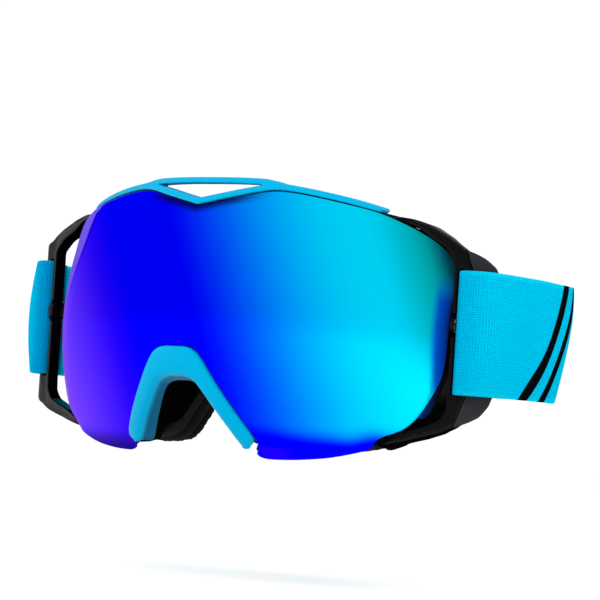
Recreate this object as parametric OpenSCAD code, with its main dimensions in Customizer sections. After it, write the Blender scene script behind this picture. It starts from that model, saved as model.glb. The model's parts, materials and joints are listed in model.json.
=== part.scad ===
// Ski goggles with a curved double lens, open side outriggers and an elastic strap.
// Millimetres. +X is the wearer's left, -Y is the front, +Z is up.
// The origin is the middle of the face curve, on the symmetry plane, at the strap's mid height.

/* [Lens] */
// Spherical radius of the lens's front surface
lens_r = 92.4; // [92:0.2:94]
// Y of the lens's foremost point
lens_apex = -45.3; // [-46:0.1:-45]
// Thickness of the outer lens
outer_lens_t = 1.2; // [1:0.1:1.3]
// Air space between the two lenses
air_gap = 3.4; // [3:0.1:3.5]
// Thickness of the inner lens
inner_lens_t = 0.8; // [0.6:0.1:0.9]

/* [Face side] */
// Radius of the face curve in plan
face_r = 95; // [94:0.5:96]
// Thickness of the fleece next to the skin
fleece_t = 2; // [1.5:0.1:2.5]
// Thickness of the soft middle foam
foam_mid_t = 5; // [4:0.5:6]
// Thickness of the stiff foam on the chassis
foam_base_t = 8; // [7:0.5:9]
// Thickness of the chassis's face flange
flange_t = 2; // [1.6:0.1:2.2]

/* [Trim] */
// How far the coloured trims stand proud of the lens
trim_proud = 1.2; // [0.8:0.1:1.5]
// Depth of the brow trim behind the lens's front surface
brow_depth = 5; // [4:0.5:5.5]
// Depth of the nose arch's inner lip behind the lens's front surface
arch_lip_d = 7; // [6:0.5:9]

/* [Outriggers] */
// X of each hinge axis
hinge_x = 60; // [59.8:0.1:60.2]
// Y of each hinge axis
hinge_y = -3.2; // [-3.4:0.1:-3]
// Radius of the hinge pins
pin_r = 1; // [0.8:0.1:1.2]
// Radial running clearance of the pins and the buttons
run_gap = 0.06; // [0.03:0.01:0.09]
// Radius of the release buttons
button_r = 3.35; // [3:0.05:3.4]
// Height of the release buttons' centres
button_z = 2.3; // [1:0.1:4]

/* [Strap] */
// Width of the elastic strap
strap_w = 40; // [38:0.5:40]
// Thickness of the elastic strap
strap_t = 1.3; // [1:0.1:1.3]
// Y of the strap's straight rear run
rear_y = 116; // [112:1:120]
// X of each strap slider at rest
slider_x = 22; // [20:1:23]

/* [Hidden] */
$fn = 48;
seg = 2;
film = 0.05;
lens_cy = lens_apex + lens_r;
laminate_t = outer_lens_t + air_gap + inner_lens_t;
rim_t = 2;
face_y = face_r;
fleece_r = face_r + fleece_t;
mid_r = fleece_r + foam_mid_t;
base_r = mid_r + foam_base_t;
flange_r = base_r + flange_t;
seat_d = outer_lens_t + rim_t + 0.25;
slot_x = 80.5;
button_x = 78.8;
button_y = -3.2;
strap_clear = 0.35;
far_front = -60;
far_back = 60;
chassis_back = 40;
half_tall = 45;
TRIM_COLOR = [0, 0.7, 0.88];
STRAP_COLOR = [0, 0.78, 0.92];
BLACK = [0.05, 0.05, 0.06];
FOAM_COLOR = [0.18, 0.18, 0.18];
// Spans in height: hinge bores in the chassis, hinge bosses, hinge pins.
BORE_SPANS = [[24, 36], [-38, -26]];
BOSS_Z = [28.2, -34.2];
PIN_SPANS = [[28.4, 34.7], [-36.4, -30]];

// Front outline: each row is a point on the lens's edge and its partner on the clear opening.
LENS_ROWS = [
    [[0, 37], [0, 30]],
    [[14, 40.2], [13, 32.4]],
    [[24.5, 42.4], [24, 34.3]],
    [[38, 41.2], [37, 33.2]],
    [[47.6, 39.2], [45.5, 31.4]],
    [[56.5, 37.4], [53.5, 28.8]],
    [[63.7, 34.1], [59, 25.8]],
    [[70, 30.3], [63.5, 22.5]],
    [[75, 25.8], [66.6, 18]],
    [[76.8, 17], [68, 12]],
    [[77, 3], [68.4, 3]],
    [[76.4, -10], [67.8, -8]],
    [[73.9, -20], [65.6, -16]],
    [[69, -29.6], [61, -23.6]],
    [[61, -37.6], [54.5, -30.2]],
    [[50, -41.9], [46.5, -33.8]],
    [[37, -44.2], [38, -35.6]],
    [[25.6, -44.5], [31.5, -35.4]],
    [[21.5, -32.5], [27, -27]],
    [[15, -22], [20.5, -17]],
    [[9.5, -12.8], [13.5, -6.4]],
    [[5, -9.9], [6.5, -2.2]],
    [[0, -9.8], [0, -1.6]]
];

// Face outline: each row is a point on the seal's outer edge and its partner on the eye side.
FACE_ROWS = [
    [[0, 37.5], [0, 25]],
    [[14, 39.5], [13, 27]],
    [[26, 40.6], [24, 28.3]],
    [[38, 39.6], [36, 27.6]],
    [[48, 36.6], [45, 26]],
    [[55, 32.6], [51, 23.4]],
    [[62, 27.6], [56.5, 19.6]],
    [[69, 21.6], [60.6, 14.6]],
    [[73, 12], [63, 8]],
    [[73.6, 1], [63.4, 0]],
    [[72.8, -10], [62.4, -8]],
    [[69.6, -20], [59.6, -15.4]],
    [[62.6, -28.6], [54, -22.4]],
    [[54, -35], [46.6, -27.8]],
    [[43, -39], [38.4, -30.6]],
    [[31, -40], [31, -30]],
    [[20.6, -37.8], [25.6, -26.4]],
    [[14.6, -30.6], [20.4, -20]],
    [[9.4, -23.6], [14, -12.6]],
    [[4, -20.2], [6.8, -8.4]],
    [[0, -19.7], [0, -7.2]]
];

// Nose arch, right half: inner edge and outer edge, from the leg's foot to the middle.
ARCH_ROWS = [
    [[19.4, -40.6], [24, -40.8]],
    [[16, -35.2], [22.6, -35.8]],
    [[13, -31], [19.9, -30.8]],
    [[9, -24], [14.6, -22.2]],
    [[6.4, -21], [9.2, -13.1]],
    [[2.6, -19.8], [4.8, -10.3]],
    [[0, -19.6], [0, -10.1]]
];

// Brow trim, right half: lower edge and upper edge, from the outer end to the middle.
BROW_ROWS = [
    [[56.8, 37.8], [57, 38.9]],
    [[47.6, 39.6], [48.2, 41.4]],
    [[38, 41.6], [38.4, 43.5]],
    [[32, 42.3], [31, 44.3]],
    [[24.5, 42.8], [22, 46.2]],
    [[14, 40.6], [14, 46.6]],
    [[7, 39.1], [7, 46.8]],
    [[0, 37.4], [0, 46.9]]
];

// Outrigger seen from the front: arms, strap bar and side plate.
OUTRIGGER_FRONT = [
    [56.5, 35], [59, 37.6], [65, 36.8], [72, 33.8], [78, 30], [84, 26], [89, 23.3], [90.4, 20.4],
    [90.4, -20.6], [89, -24.6], [84.2, -28.5], [80, -32.8], [69, -37.2], [62, -38.8], [59.5, -37.2],
    [56.5, -36.6], [56.5, -34.4], [62, -33.2], [69, -31.8], [76.6, -28.4], [79, -24.6], [79, 20.2],
    [77.6, 24.6], [70, 29], [62.4, 31.6], [56.5, 33]
];

// Outrigger seen from above: front face from the hinge outwards, then the back face home.
OUTRIGGER_PLAN = [
    [56.5, -4.6], [58.6, -8], [60, -14.6], [66, -14.2], [74, -9.6], [78.4, -5.8], [83, -5], [84.7, -4.4],
    [86.9, -2.6], [88.6, 0.6], [89.6, 6.5], [88.1, 6.9], [86.8, 2.2], [85.2, -0.4], [82.9, -1.2],
    [79, -1.2], [72, -0.9], [64, -0.5], [60, -0.7], [58, -2.2]
];

// Strap loop in plan: from the sewn inner end, forward through the slot and round the side plate.
LOOP_PATH = [
    [90.3, 14], [89.2, 11], [87.2, 7.2], [85.9, 3.4], [84.2, 0.8], [82.5, 0.2], [81.75, -1.1],
    [81.75, -4.8], [82.4, -5.9], [83.5, -6.2], [85.4, -5.5], [87.9, -3.3], [89.8, 0.6], [90.8, 6.4],
    [91.75, 14]
];

// Side strap in plan, from behind the outrigger to the rear run.
SIDE_PATH = [
    [92.2, 19], [92.4, 34], [90.2, 52], [84, 68], [74, 83], [63, rear_y - 18], [54, rear_y - 7.5],
    [46, rear_y - 1.8], [38, rear_y]
];

function at(rows, t) = [for (row = rows) row[0] + (row[1] - row[0]) * t];
function flip(pts) = [for (i = [len(pts) - 1:-1:0]) [-pts[i][0], pts[i][1]]];
function reverse(pts) = [for (i = [len(pts) - 1:-1:0]) pts[i]];
// A half outline from the top middle to the bottom middle, made whole.
function whole(half) = concat(half, [for (i = [len(half) - 2:-1:1]) [-half[i][0], half[i][1]]]);
// A half outline that ends on the middle, carried on to the other side.
function across(half) = concat([for (i = [0:len(half) - 2]) half[i]], flip(half));
function blend4(a, b, c, d, t) =
    0.5 * (2 * b + (c - a) * t + (2 * a - 5 * b + 4 * c - d) * t * t + (3 * b - a - 3 * c + d) * t * t * t);
// A smooth closed curve through the points.
function smooth(pts) = let (n = len(pts)) [
    for (i = [0:n - 1])
        for (k = [0:seg - 1])
            blend4(pts[(i + n - 1) % n], pts[i], pts[(i + 1) % n], pts[(i + 2) % n], k / seg)
];
// A smooth open curve through the points.
function curve(pts) = let (n = len(pts) - 1) concat([
    for (i = [0:n - 1])
        for (k = [0:seg - 1])
            blend4(pts[max(i - 1, 0)], pts[i], pts[i + 1], pts[min(i + 2, n)], k / seg)
], [pts[n]]);
function normal(pts, i) =
    let (n = len(pts) - 1, d = pts[min(i + 1, n)] - pts[max(i - 1, 0)]) [-d[1], d[0]] / norm(d);
function shifted(pts, d) = [for (i = [0:len(pts) - 1]) pts[i] + normal(pts, i) * d];
function lens_back_y(x, z, depth) = lens_cy - sqrt(pow(lens_r - depth, 2) - x * x - z * z);
function flange_front_y(x) = face_y - sqrt(flange_r * flange_r - x * x);

module outline(rows, t) {
    polygon(smooth(whole(at(rows, t))));
}

module ring(rows, t_out, t_in) {
    difference() {
        outline(rows, t_out);
        outline(rows, t_in);
    }
}

module half_band(rows) {
    polygon(concat(curve(across(at(rows, 0))), reverse(curve(across(at(rows, 1))))));
}

module ribbon(path) {
    path_curve = curve(path);
    polygon(concat(shifted(path_curve, strap_t / 2), reverse(shifted(path_curve, -strap_t / 2))));
}

// Stands a front outline up and gives it depth from y0 back to y1.
module along_y(y0, y1) {
    translate([0, y1, 0])
        rotate([90, 0, 0])
            linear_extrude(y1 - y0)
                children();
}

// Everything behind the lens's front surface, moved back by depth.
module behind_lens(depth) {
    translate([0, lens_cy, 0])
        sphere(lens_r - depth, $fn = 96);
}

// Everything within a radius of the face curve's axis.
module within_face(r) {
    translate([0, face_y, 0])
        cylinder(r = r, h = 4 * half_tall, center = true, $fn = 96);
}

module lens_layer(depth, thickness) {
    intersection() {
        difference() {
            behind_lens(depth);
            behind_lens(depth + thickness);
        }
        along_y(far_front, far_back)
            children();
    }
}

module face_layer(r_in, r_out) {
    intersection() {
        difference() {
            within_face(r_out);
            within_face(r_in);
        }
        along_y(far_front, far_back)
            children();
    }
}

module both_sides() {
    children();
    mirror([1, 0, 0])
        children();
}

module hinge_bore(span) {
    translate([hinge_x, hinge_y, span[0]])
        cylinder(r = pin_r + run_gap, h = span[1] - span[0]);
}

// Hinge bosses: one behind the top edge and one behind the bottom edge, each with a web to the flange.
module hinge_bosses() {
    boss_r = 2.4;
    boss_h = 4.4;
    web_w = 3;
    web_y = flange_front_y(hinge_x) + flange_t / 2;
    for (z = BOSS_Z)
        translate([hinge_x, hinge_y, z]) {
            cylinder(r = boss_r, h = boss_h);
            translate([-web_w / 2, 0, 0])
                cube([web_w, web_y - hinge_y, boss_h]);
        }
}

// Chassis: the wall round the lens, the face flange and the hinge bosses.
module chassis() {
    color(BLACK)
        difference() {
            union() {
                chassis_wall();
                face_flange();
                trim_ledges();
                both_sides()
                    hinge_bosses();
            }
            both_sides()
                for (span = BORE_SPANS)
                    hinge_bore(span);
        }
}

module chassis_wall() {
    wall_out = 0.05;
    wall_in = 0.33;
    difference() {
        intersection() {
            along_y(far_front, chassis_back)
                ring(LENS_ROWS, wall_out, wall_in);
            behind_lens(seat_d);
        }
        within_face(base_r + film);
        vent_slots();
        both_sides()
            outrigger_relief();
    }
}

module face_flange() {
    wall_out = 0.05;
    eye_side = 0.75;
    intersection() {
        face_layer(base_r + film, flange_r)
            difference() {
                union() {
                    outline(LENS_ROWS, wall_out);
                    outline(FACE_ROWS, 0);
                }
                outline(FACE_ROWS, eye_side);
            }
        behind_lens(seat_d);
    }
}

// Ledges that carry the two coloured trims, each running into the chassis's wall.
module trim_ledges() {
    ledge_t = 2;
    arch_from = 0.36;
    arch_to = 1.25;
    brow_below = [0, 2.4];
    brow_above = [0, 1.2];
    arch_rows = [
        for (i = [1:len(ARCH_ROWS) - 1])
            let (row = ARCH_ROWS[i], band = row[1] - row[0])
                [row[0] + band * arch_from, row[0] + band * arch_to]
    ];
    brow_rows = [for (row = BROW_ROWS) [row[0] - brow_below, row[0] + brow_above]];
    lens_layer(seat_d, ledge_t)
        half_band(arch_rows);
    lens_layer(brow_depth + film, ledge_t)
        half_band(brow_rows);
}

// Vent openings through the chassis's top wall and bottom wall.
module vent_slots() {
    slot_w = 9;
    slot_l = 5;
    slot_h = 16;
    top_z = 38;
    bottom_z = -40;
    for (x = [-42:14:42])
        vent_slot(x, top_z, [slot_w, slot_l, slot_h]);
    for (x = [-46, -34, 34, 46])
        vent_slot(x, bottom_z, [slot_w, slot_l, slot_h]);
}

// One opening, midway between the lens seat and the face flange.
module vent_slot(x, z, size) {
    translate([x, (lens_back_y(x, z, seat_d) + flange_front_y(x)) / 2, z])
        cube(size, center = true);
}

// Room for the outrigger's arms to pass through the chassis's wall and swing.
module outrigger_relief() {
    plan = [[55.8, -24], [80, -24], [80, 3.4], [66, 1.4], [62, 0.6], [55.8, 0.6]];
    for (span = [[27, 42], [-44, -28]])
        translate([0, 0, span[0]])
            linear_extrude(span[1] - span[0])
                polygon(plan);
}

// Brow trim: the coloured bar along the top, with its open V in the middle.
module brow_trim() {
    open_v = [
        [-20.4, 44.2], [-19.6, 43.7], [-1, 39.6], [1, 39.6], [19.6, 43.7], [20.4, 44.2],
        [18, 44.5], [8, 44.8], [-8, 44.8], [-18, 44.5]
    ];
    color(TRIM_COLOR)
        difference() {
            lens_layer(-trim_proud, trim_proud + brow_depth)
                half_band(BROW_ROWS);
            along_y(far_front, 0)
                polygon(open_v);
        }
}

// Nose arch: the coloured band over the nose and the lip that turns back inside it.
module nose_arch() {
    lip_share = 0.26;
    lens_gap = -0.02;
    lip_rows = [for (row = ARCH_ROWS) [row[0], row[0] + (row[1] - row[0]) * lip_share]];
    color(TRIM_COLOR)
        difference() {
            union() {
                lens_layer(-trim_proud, trim_proud + seat_d - film)
                    half_band(ARCH_ROWS);
                lens_layer(-trim_proud, trim_proud + arch_lip_d)
                    half_band(lip_rows);
            }
            along_y(far_front, 0)
                outline(LENS_ROWS, lens_gap);
        }
}

module outer_lens() {
    color([0.02, 0.25, 1])
        lens_layer(0, outer_lens_t)
            outline(LENS_ROWS, 0);
}

// Lens rim: the carrier behind the lens's edge that seats on the chassis.
module lens_rim() {
    rim_out = 0.06;
    rim_in = 0.32;
    color(BLACK)
        lens_layer(outer_lens_t + film, rim_t - film)
            ring(LENS_ROWS, rim_out, rim_in);
}

module lens_gasket() {
    gasket_out = 0.4;
    gasket_in = 0.58;
    color(FOAM_COLOR)
        lens_layer(outer_lens_t + film, air_gap - 2 * film)
            ring(LENS_ROWS, gasket_out, gasket_in);
}

module inner_lens() {
    inner_edge = 0.4;
    color([0.6, 0.65, 0.7])
        lens_layer(outer_lens_t + air_gap, inner_lens_t)
            outline(LENS_ROWS, inner_edge);
}

// Outrigger: the open loop beside the lens that carries the strap, with its hinge tabs.
module outrigger() {
    arm_clear = 1;
    inner_clear = 0.6;
    lens_margin = -0.13;
    inner_row = 0.34;
    slot_t = 2.4;
    slot_extra = 1;
    bore_from = button_x - 8;
    bore_to = slot_x + 1;
    color(BLACK)
        difference() {
            outrigger_solid();
            // Keeps clear of the lens and its rim, at rest and as they slide out.
            difference() {
                along_y(far_front, far_back)
                    outline(LENS_ROWS, lens_margin);
                behind_lens(seat_d + arm_clear);
            }
            difference() {
                along_y(far_front, far_back)
                    outline(LENS_ROWS, inner_row);
                behind_lens(laminate_t + inner_clear);
            }
            translate([slot_x, far_front, -strap_w / 2 - slot_extra])
                cube([slot_t, far_back - far_front, strap_w + 2 * slot_extra]);
            hinge_bore([-half_tall, half_tall]);
            hinge_gap();
            translate([bore_from, button_y, button_z])
                rotate([0, 90, 0])
                    cylinder(r = button_r + run_gap, h = bore_to - bore_from);
        }
}

// The loop's plan and front shape together, with the hinge tabs and the button's boss.
module outrigger_solid() {
    tab_r = 2.8;
    tab_h = 2;
    boss_r = 4.5;
    boss_x = button_x + 0.2;
    intersection() {
        along_y(far_front, far_back)
            polygon(OUTRIGGER_FRONT);
        translate([0, 0, -half_tall])
            linear_extrude(2 * half_tall)
                polygon(OUTRIGGER_PLAN);
    }
    for (z = [32.9, -36.6])
        translate([hinge_x, hinge_y, z])
            cylinder(r = tab_r, h = tab_h);
    translate([boss_x, button_y, button_z])
        rotate([0, 90, 0])
            cylinder(r = boss_r, h = slot_x - boss_x);
}

// Frees the arm's root above and below its tab, so that it turns on the chassis's bosses.
module hinge_gap() {
    gap_r = 3.4;
    for (span = [[20, 32.9], [-34.6, -20]])
        translate([hinge_x, hinge_y, span[0]])
            cylinder(r = gap_r, h = span[1] - span[0]);
}

module outrigger_left() {
    outrigger();
}

module outrigger_right() {
    mirror([1, 0, 0])
        outrigger();
}

// Two short steel pins on one hinge axis.
module hinge_pins() {
    color([0.7, 0.7, 0.72])
        for (span = PIN_SPANS)
            translate([hinge_x, hinge_y, span[0]])
                cylinder(r = pin_r, h = span[1] - span[0]);
}

module hinge_pins_left() {
    hinge_pins();
}

module hinge_pins_right() {
    mirror([1, 0, 0])
        hinge_pins();
}

module release_button() {
    body_h = 1.8;
    step_h = 0.3;
    step_in = 0.6;
    color(BLACK)
        translate([button_x, button_y, button_z])
            rotate([0, 90, 0])
                union() {
                    cylinder(r = button_r, h = body_h);
                    translate([0, 0, body_h])
                        cylinder(r = button_r - step_in, h = step_h);
                }
}

module release_button_left() {
    release_button();
}

module release_button_right() {
    mirror([1, 0, 0])
        release_button();
}

module foam_base() {
    outer_edge = 0.04;
    eye_edge = 0.94;
    color(FOAM_COLOR)
        face_layer(mid_r + film, base_r)
            ring(FACE_ROWS, outer_edge, eye_edge);
}

module foam_middle() {
    outer_edge = 0.03;
    eye_edge = 0.96;
    color(FOAM_COLOR)
        face_layer(fleece_r + film, mid_r)
            ring(FACE_ROWS, outer_edge, eye_edge);
}

module face_fleece() {
    color(BLACK)
        face_layer(face_r, fleece_r)
            ring(FACE_ROWS, 0, 1);
}

// Open-cell foam strip behind the vents, kept between two X and two Z values.
module vent_foam(x0, x1, z0, z1) {
    strip_out = 0.35;
    strip_in = 0.52;
    lens_clear = 0.6;
    flange_clear = 0.2;
    intersection() {
        difference() {
            intersection() {
                along_y(far_front, chassis_back)
                    ring(LENS_ROWS, strip_out, strip_in);
                behind_lens(laminate_t + lens_clear);
            }
            within_face(flange_r + flange_clear);
        }
        translate([x0, far_front, z0])
            cube([x1 - x0, far_back - far_front, z1 - z0]);
    }
}

module top_vent_foam() {
    color(FOAM_COLOR)
        vent_foam(-50, 50, 20, 50);
}

module bottom_vent_foam() {
    color(FOAM_COLOR)
        both_sides()
            vent_foam(36, 53, -50, -20);
}

module strap_band(path) {
    translate([0, 0, -strap_w / 2])
        linear_extrude(strap_w)
            ribbon(path);
}

module strap_loop_left() {
    color(STRAP_COLOR)
        strap_band(LOOP_PATH);
}

module strap_loop_right() {
    mirror([1, 0, 0])
        strap_loop_left();
}

module strap_side_left() {
    color(STRAP_COLOR)
        strap_band(SIDE_PATH);
}

module strap_side_right() {
    mirror([1, 0, 0])
        strap_side_left();
}

module strap_rear() {
    rear_half = 37.6;
    color(STRAP_COLOR)
        translate([-rear_half, rear_y - strap_t / 2, -strap_w / 2])
            cube([2 * rear_half, strap_t, strap_w]);
}

// Strap slider: two outer bars and a centre bar between end caps, threaded on the strap.
module slider() {
    cap_h = 2.4;
    cap_gap = 0.4;
    half_w = 8;
    bar_w = 3;
    bar_t = 1.6;
    bar_extra = 1;
    inner_y = rear_y - strap_t / 2 - strap_clear;
    outer_y = rear_y + 1.5 * strap_t + 2 * strap_clear;
    color(BLACK)
        union() {
            for (z = [strap_w / 2 + cap_gap, -strap_w / 2 - cap_gap - cap_h])
                translate([slider_x - half_w, inner_y - bar_t, z])
                    cube([2 * half_w, outer_y - inner_y + 2 * bar_t, cap_h]);
            for (x = [-half_w, half_w - bar_w])
                translate([slider_x + x, outer_y, -strap_w / 2 - bar_extra])
                    cube([bar_w, bar_t, strap_w + 2 * bar_extra]);
            translate([slider_x - bar_w / 2, inner_y - bar_t, -strap_w / 2 - bar_extra])
                cube([bar_w, bar_t, strap_w + 2 * bar_extra]);
        }
}

module slider_left() {
    slider();
}

module slider_right() {
    mirror([1, 0, 0])
        slider();
}

// The strap's free end, doubled over outside the rear run and sewn to the slider.
module strap_tail() {
    tail_l = 14;
    past_x = 2;
    color(STRAP_COLOR)
        translate([slider_x + past_x - tail_l, rear_y + strap_t / 2 + strap_clear, -strap_w / 2])
            cube([tail_l, strap_t, strap_w]);
}

module strap_tail_left() {
    strap_tail();
}

module strap_tail_right() {
    mirror([1, 0, 0])
        strap_tail();
}

chassis();
brow_trim();
nose_arch();
outer_lens();
lens_rim();
lens_gasket();
inner_lens();
outrigger_left();
outrigger_right();
hinge_pins_left();
hinge_pins_right();
release_button_left();
release_button_right();
foam_base();
foam_middle();
face_fleece();
top_vent_foam();
bottom_vent_foam();
strap_loop_left();
strap_loop_right();
strap_side_left();
strap_side_right();
strap_rear();
slider_left();
slider_right();
strap_tail_left();
strap_tail_right();
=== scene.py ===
"""Ski goggles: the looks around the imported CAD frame. Shapes are worked out in millimetres."""
import json
import math

import bmesh
import bpy
import numpy as np
from mathutils import Matrix, Vector
from mathutils.geometry import delaunay_2d_cdt

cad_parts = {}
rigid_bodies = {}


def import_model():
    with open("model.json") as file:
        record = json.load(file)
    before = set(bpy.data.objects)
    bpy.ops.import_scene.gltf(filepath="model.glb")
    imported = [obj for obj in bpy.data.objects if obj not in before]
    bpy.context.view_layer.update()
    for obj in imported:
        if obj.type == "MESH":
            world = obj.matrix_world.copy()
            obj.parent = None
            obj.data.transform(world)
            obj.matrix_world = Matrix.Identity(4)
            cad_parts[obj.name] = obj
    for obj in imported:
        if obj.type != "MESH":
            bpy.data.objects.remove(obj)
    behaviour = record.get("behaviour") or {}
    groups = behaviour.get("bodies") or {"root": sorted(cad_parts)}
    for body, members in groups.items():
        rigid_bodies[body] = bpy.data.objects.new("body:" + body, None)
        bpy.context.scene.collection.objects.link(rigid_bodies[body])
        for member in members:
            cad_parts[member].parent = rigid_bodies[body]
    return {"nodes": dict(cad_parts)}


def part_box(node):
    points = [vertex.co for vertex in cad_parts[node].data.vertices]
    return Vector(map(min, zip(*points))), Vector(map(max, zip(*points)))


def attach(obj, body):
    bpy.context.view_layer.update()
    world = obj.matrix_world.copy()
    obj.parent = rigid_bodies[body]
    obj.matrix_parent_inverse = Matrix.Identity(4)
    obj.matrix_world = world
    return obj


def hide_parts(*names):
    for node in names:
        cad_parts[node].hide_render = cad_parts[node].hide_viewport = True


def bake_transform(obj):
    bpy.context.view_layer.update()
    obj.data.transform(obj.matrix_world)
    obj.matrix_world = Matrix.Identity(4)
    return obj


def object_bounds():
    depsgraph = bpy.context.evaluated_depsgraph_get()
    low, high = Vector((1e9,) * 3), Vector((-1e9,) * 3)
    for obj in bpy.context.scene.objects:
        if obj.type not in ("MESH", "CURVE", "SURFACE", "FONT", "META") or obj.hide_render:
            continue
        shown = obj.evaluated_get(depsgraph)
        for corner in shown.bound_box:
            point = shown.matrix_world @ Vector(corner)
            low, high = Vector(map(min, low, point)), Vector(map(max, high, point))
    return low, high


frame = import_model()
cad_low, cad_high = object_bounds()

MM = 0.001

# ---------------------------------------------------------------- driving sizes, from the frame


def box_mm(node):
    """The low and high corners of a CAD node, in millimetres."""
    return [np.array(corner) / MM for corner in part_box(node)]


strap_low, strap_high = box_mm("strap_side_left")
rear_low, rear_high = box_mm("strap_rear")
lens_low = box_mm("outer_lens")[0]
button_low, button_high = box_mm("release_button_left")
pins_low, pins_high = box_mm("hinge_pins_left")

STRAP_W = strap_high[2] - strap_low[2]
STRAP_T = rear_high[1] - rear_low[1]
REAR_Y = (rear_low[1] + rear_high[1]) / 2
BUTTON_R = (button_high[2] - button_low[2]) / 2
BUTTON_AT = (button_low + button_high) / 2
PIN_AT = (pins_low + pins_high) / 2
# The lens is a slice of a curved tube: one radius seen from above, one from the side, and more wrap
# at its upper corners.
LENS_APEX = lens_low[1] - 0.9
LENS_RH = 89.5
LENS_RV = 76.6
LENS_Z0 = 0.6
LENS_REACH = LENS_RH * 0.93
WRAP_DEPTH = 2.4
# The face is an upright cylinder.
FACE_R = 95.0
FACE_Y = 95.0


# ---------------------------------------------------------------- curves and surfaces

def ramp_up(value, low, high):
    """0 at low, 1 at high, in a straight line."""
    return np.clip((value - low) / (high - low), 0, 1)


def eased(value, low, high):
    """0 at low, 1 at high, with soft ends."""
    t = ramp_up(value, low, high)
    return t * t * (3 - 2 * t)


def run_length(p):
    """The length along the polyline at each of its points."""
    return np.concatenate([[0], np.cumsum(np.linalg.norm(np.diff(p, axis=0), axis=1))])


def lens_y(x, z, depth=0.0):
    """Y of the lens's front surface, moved back by depth along the surface's normal."""
    x = np.clip(np.asarray(x, float), -LENS_REACH, LENS_REACH)
    z = np.asarray(z, float) - LENS_Z0
    root_h = np.sqrt(LENS_RH ** 2 - x ** 2)
    root_v = np.sqrt(LENS_RV ** 2 - z ** 2)
    slope = np.sqrt(1 + (x / root_h) ** 2 + (z / root_v) ** 2)
    wrap = WRAP_DEPTH * ramp_up(np.abs(x), 52, 77) ** 2 * ramp_up(z, -4, 22) ** 1.5
    return LENS_APEX + (LENS_RH - root_h) + (LENS_RV - root_v) + depth * slope + wrap


def lens_normal(x, z):
    """Unit normal of the lens surface, pointing forward."""
    x = np.clip(np.asarray(x, float), -LENS_REACH, LENS_REACH)
    z = np.asarray(z, float) - LENS_Z0
    nx = x / np.sqrt(LENS_RH ** 2 - x ** 2)
    nz = z / np.sqrt(LENS_RV ** 2 - z ** 2)
    n = np.stack([nx, -np.ones_like(nx), nz], -1)
    return n / np.linalg.norm(n, axis=-1, keepdims=True)


def spline(p, closed=False, steps=12):
    """A smooth curve through the points, with the same number of steps on every span."""
    n = len(p)
    out = []
    for i in range(n if closed else n - 1):
        if closed:
            a, b, c, d = p[i - 1], p[i], p[(i + 1) % n], p[(i + 2) % n]
        else:
            a, b, c, d = p[max(i - 1, 0)], p[i], p[i + 1], p[min(i + 2, n - 1)]
        for t in np.linspace(0, 1, steps, endpoint=False):
            out.append(0.5 * (2 * b + (c - a) * t + (2 * a - 5 * b + 4 * c - d) * t * t
                              + (3 * b - a - 3 * c + d) * t ** 3))
    if not closed:
        out.append(p[-1])
    return np.array(out)


def catmull(points, step=1.0):
    """A smooth open curve through the points, resampled evenly at about step."""
    return resample(spline(np.asarray(points, float)), False, step)


def resample(p, closed, step):
    """The polyline p at even spacing of about step."""
    q = np.vstack([p, p[:1]]) if closed else p
    lengths = run_length(q)
    count = max(4, int(round(lengths[-1] / step)))
    s = np.linspace(0, lengths[-1], count + 1)
    if closed:
        s = s[:-1]
    return np.stack([np.interp(s, lengths, q[:, k]) for k in range(q.shape[1])], -1)


def rounded(points, radii, step=0.7):
    """A closed polygon with its corners rounded by the given radii, resampled evenly."""
    p = np.asarray(points, float)
    n = len(p)
    out = []
    for i in range(n):
        a, b, c = p[i - 1], p[i], p[(i + 1) % n]
        r = radii if np.isscalar(radii) else radii[i]
        u, v = a - b, c - b
        lu, lv = np.linalg.norm(u), np.linalg.norm(v)
        u, v = u / lu, v / lv
        half = math.acos(np.clip(u @ v, -1, 1)) / 2
        cut = min(r / max(math.tan(half), 1e-3), 0.48 * lu, 0.48 * lv)
        start, end = b + u * cut, b + v * cut
        for t in np.linspace(0, 1, 9):
            out.append((1 - t) ** 2 * start + 2 * t * (1 - t) * b + t * t * end)
    return resample(np.array(out), True, step)


def ccw(loop):
    """The loop, turned to run counter-clockwise."""
    x, y = loop[:, 0], loop[:, 1]
    return loop if np.sum(x * np.roll(y, -1) - np.roll(x, -1) * y) > 0 else loop[::-1]


def inset(loop, d):
    """The counter-clockwise loop moved inward by d."""
    tangent = np.roll(loop, -1, 0) - np.roll(loop, 1, 0)
    tangent /= np.maximum(np.linalg.norm(tangent, axis=1, keepdims=True), 1e-9)
    return loop + np.stack([-tangent[:, 1], tangent[:, 0]], -1) * d


def mirrored(half):
    """A half outline from the top middle to the bottom middle, made whole."""
    half = np.asarray(half, float)
    other = half[1:-1][::-1] * np.array([-1, 1])
    return np.vstack([half, other])


# ---------------------------------------------------------------- mesh helpers

def add_object(name, data):
    """A new object that holds data, linked to the scene."""
    obj = bpy.data.objects.new(name, data)
    bpy.context.scene.collection.objects.link(obj)
    return obj


def make_mesh(name, verts, faces):
    """verts in millimetres; returns the new object."""
    mesh = bpy.data.meshes.new(name)
    mesh.from_pydata((np.asarray(verts, float) * MM).tolist(), [], [[int(i) for i in f] for f in faces])
    mesh.validate()
    mesh.update()
    mesh.shade_smooth()
    return add_object(name, mesh)


def get_points(obj):
    """The vertices, in millimetres."""
    return np.array([v.co for v in obj.data.vertices]) / MM


def set_points(obj, points):
    obj.data.vertices.foreach_set("co", (points * MM).astype(np.float32).ravel())
    obj.data.update()


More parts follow.
